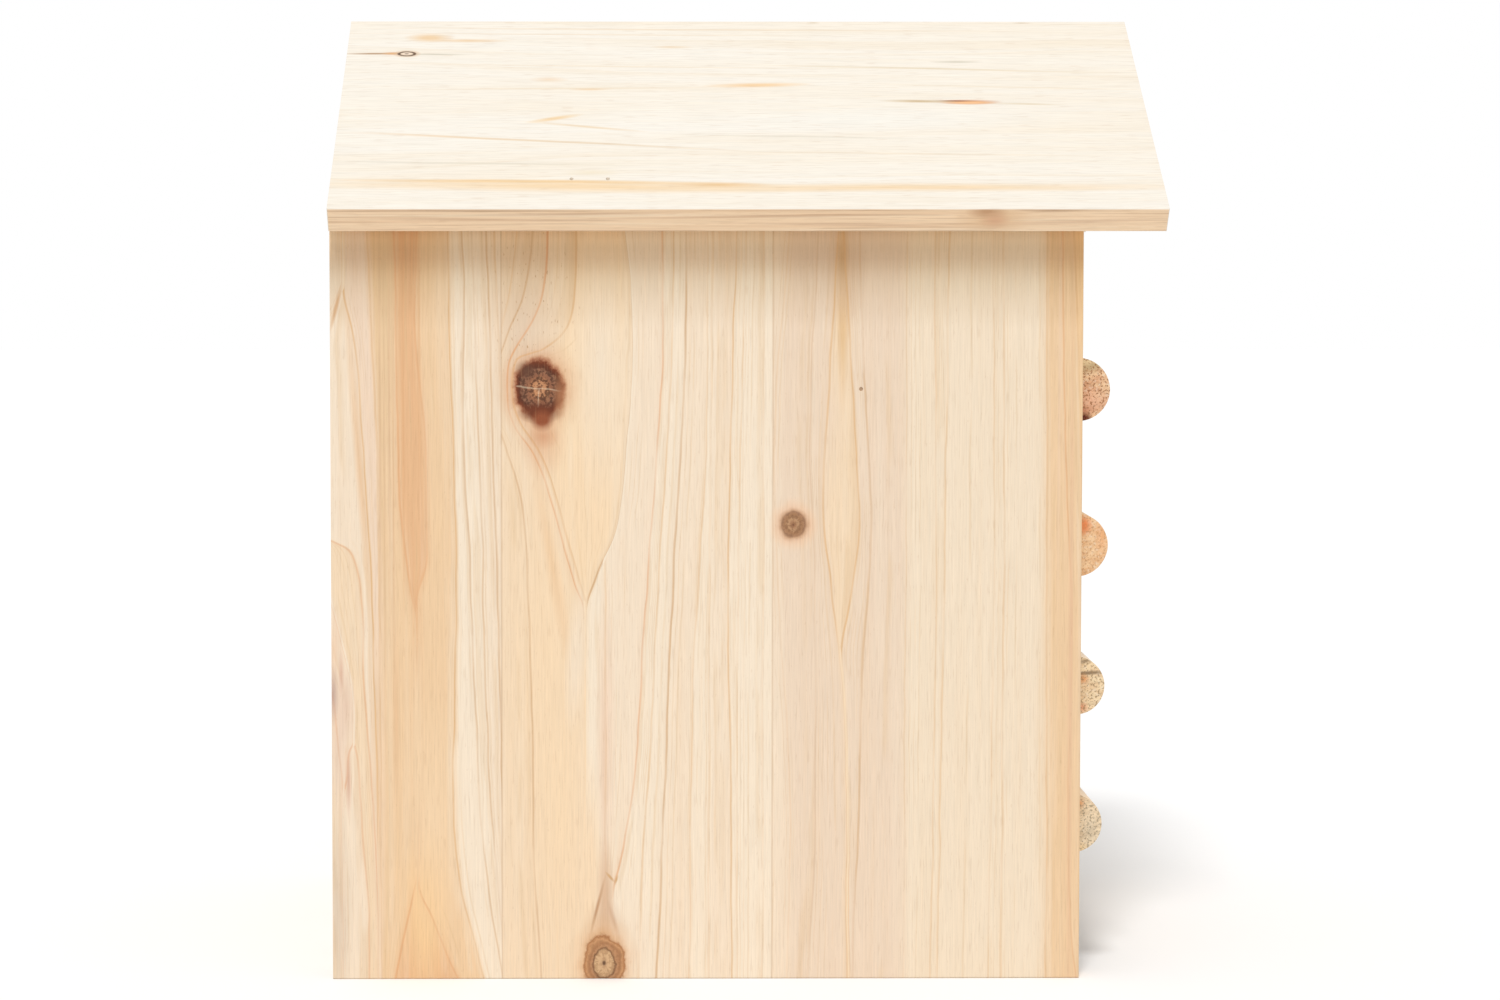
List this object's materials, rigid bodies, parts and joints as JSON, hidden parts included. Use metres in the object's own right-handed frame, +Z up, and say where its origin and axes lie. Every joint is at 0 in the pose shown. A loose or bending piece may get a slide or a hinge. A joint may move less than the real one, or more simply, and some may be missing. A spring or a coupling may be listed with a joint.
{
  "type": "bat house",
  "caption": "Wooden bat house with a gable roof, an open base, kerfed roost boards inside and half-round climbing bars across the front.",
  "frame": {"origin": "under the middle of the roof's outline, level with the lower edges of the box", "axes": "+X from the wall side to the front, +Y to the right as seen from the front, +Z up"},
  "size_m": [0.3, 0.1996, 0.3526],
  "materials": {
    "fir_wall": "planed, unfinished",
    "fir_roof": "planed, unfinished",
    "fir_roost": "sawn, with kerfs",
    "fir_bar": "turned, rough-sawn ends",
    "steel": "bright wire"
  },
  "bodies": {
    "root": {"side_panel_left": "fir_wall", "side_panel_right": "fir_wall", "back_board": "fir_wall", "front_board": "fir_wall", "roof_board_left": "fir_roof", "roof_board_right": "fir_roof", "roost_board_1": "fir_roost", "roost_board_2": "fir_roost", "roost_board_3": "fir_roost", "roost_board_4": "fir_roost", "roost_board_5": "fir_roost", "roost_board_6": "fir_roost", "bar_1": "fir_bar", "bar_2": "fir_bar", "bar_3": "fir_bar", "bar_4": "fir_bar", "roof_pins": "steel", "roost_pins": "steel", "bar_pins": "steel"}
  },
  "joints": []
}
